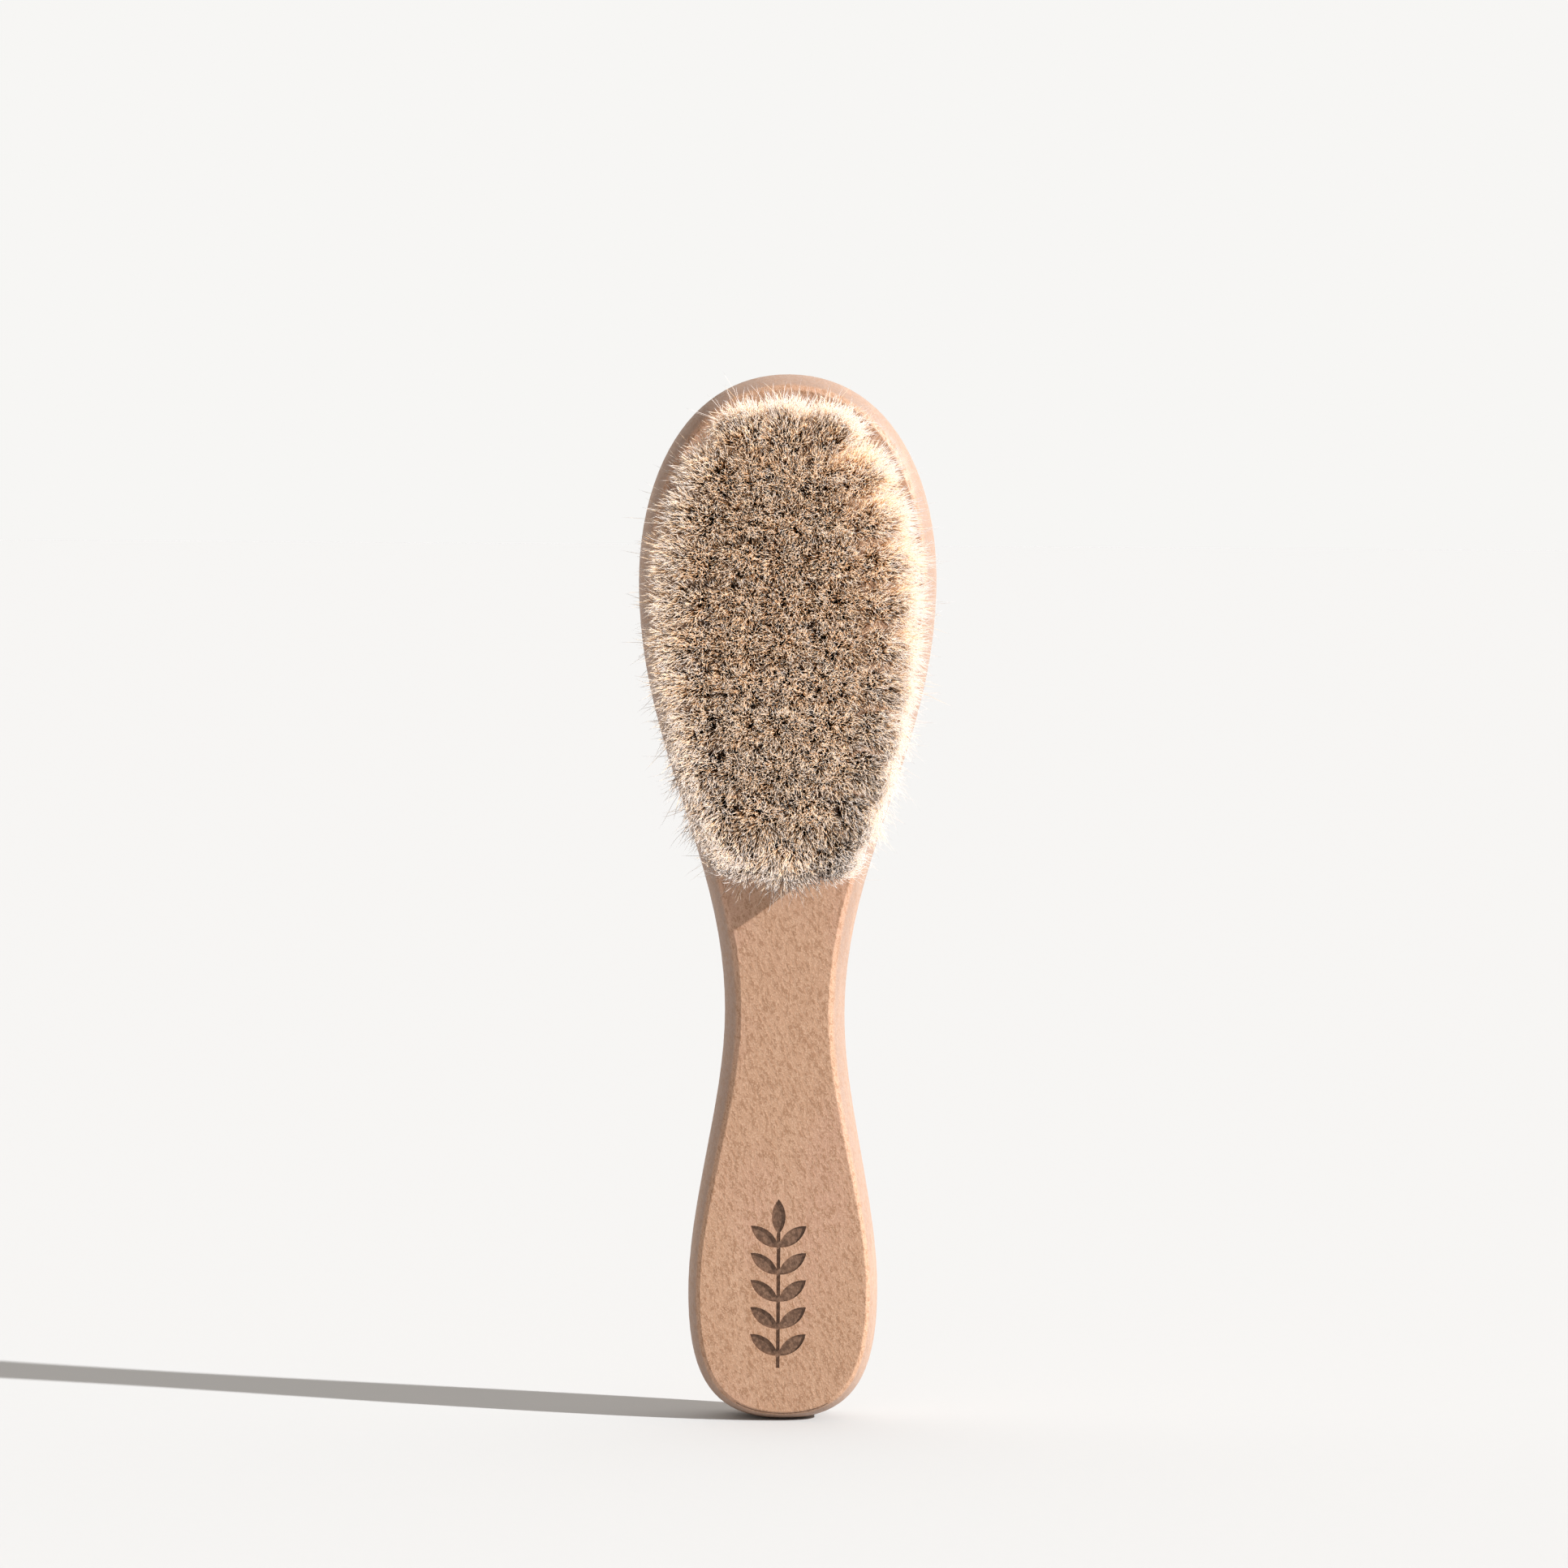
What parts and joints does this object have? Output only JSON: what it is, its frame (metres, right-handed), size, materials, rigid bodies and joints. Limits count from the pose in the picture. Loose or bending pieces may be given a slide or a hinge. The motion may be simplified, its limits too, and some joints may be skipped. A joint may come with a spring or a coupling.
{
  "type": "soft hair brush",
  "caption": "One-piece wooden paddle brush with a narrow waist and an oval head, set with round tufts of soft hair held by wire staples in blind holes.",
  "frame": {"origin": "under the middle of the brush at the butt end of the handle: the bottom centre of its box, hair included", "axes": "+Z along the handle from the butt end to the crown of the head, -Y out of the hair, +Y out of the flat back, +X to the right seen from the hair side"},
  "size_m": [0.0454, 0.0321, 0.16],
  "materials": {
    "beech_wood": "oiled satin beech with fine flecks",
    "soft_hair": "fine undyed animal hair, cream at the tips",
    "staple_wire": "drawn steel wire"
  },
  "bodies": {
    "root": {"anchor_staples": "staple_wire", "brush_body": "beech_wood", "tuft_row01_1": "soft_hair", "tuft_row01_2": "soft_hair", "tuft_row01_3": "soft_hair", "tuft_row02_1": "soft_hair", "tuft_row02_2": "soft_hair", "tuft_row02_3": "soft_hair", "tuft_row02_4": "soft_hair", "tuft_row02_5": "soft_hair", "tuft_row03_1": "soft_hair", "tuft_row03_2": "soft_hair", "tuft_row03_3": "soft_hair", "tuft_row03_4": "soft_hair", "tuft_row03_5": "soft_hair", "tuft_row04_1": "soft_hair", "tuft_row04_2": "soft_hair", "tuft_row04_3": "soft_hair", "tuft_row04_4": "soft_hair", "tuft_row04_5": "soft_hair", "tuft_row05_1": "soft_hair", "tuft_row05_2": "soft_hair", "tuft_row05_3": "soft_hair", "tuft_row05_4": "soft_hair", "tuft_row05_5": "soft_hair", "tuft_row06_1": "soft_hair", "tuft_row06_2": "soft_hair", "tuft_row06_3": "soft_hair", "tuft_row06_4": "soft_hair", "tuft_row06_5": "soft_hair", "tuft_row07_1": "soft_hair", "tuft_row07_2": "soft_hair", "tuft_row07_3": "soft_hair", "tuft_row07_4": "soft_hair", "tuft_row07_5": "soft_hair", "tuft_row08_1": "soft_hair", "tuft_row08_2": "soft_hair", "tuft_row08_3": "soft_hair", "tuft_row08_4": "soft_hair", "tuft_row08_5": "soft_hair", "tuft_row09_1": "soft_hair", "tuft_row09_2": "soft_hair", "tuft_row09_3": "soft_hair", "tuft_row09_4": "soft_hair", "tuft_row09_5": "soft_hair", "tuft_row10_1": "soft_hair", "tuft_row10_2": "soft_hair", "tuft_row10_3": "soft_hair", "tuft_row10_4": "soft_hair", "tuft_row11_1": "soft_hair", "tuft_row11_2": "soft_hair", "tuft_row11_3": "soft_hair"}
  },
  "joints": []
}
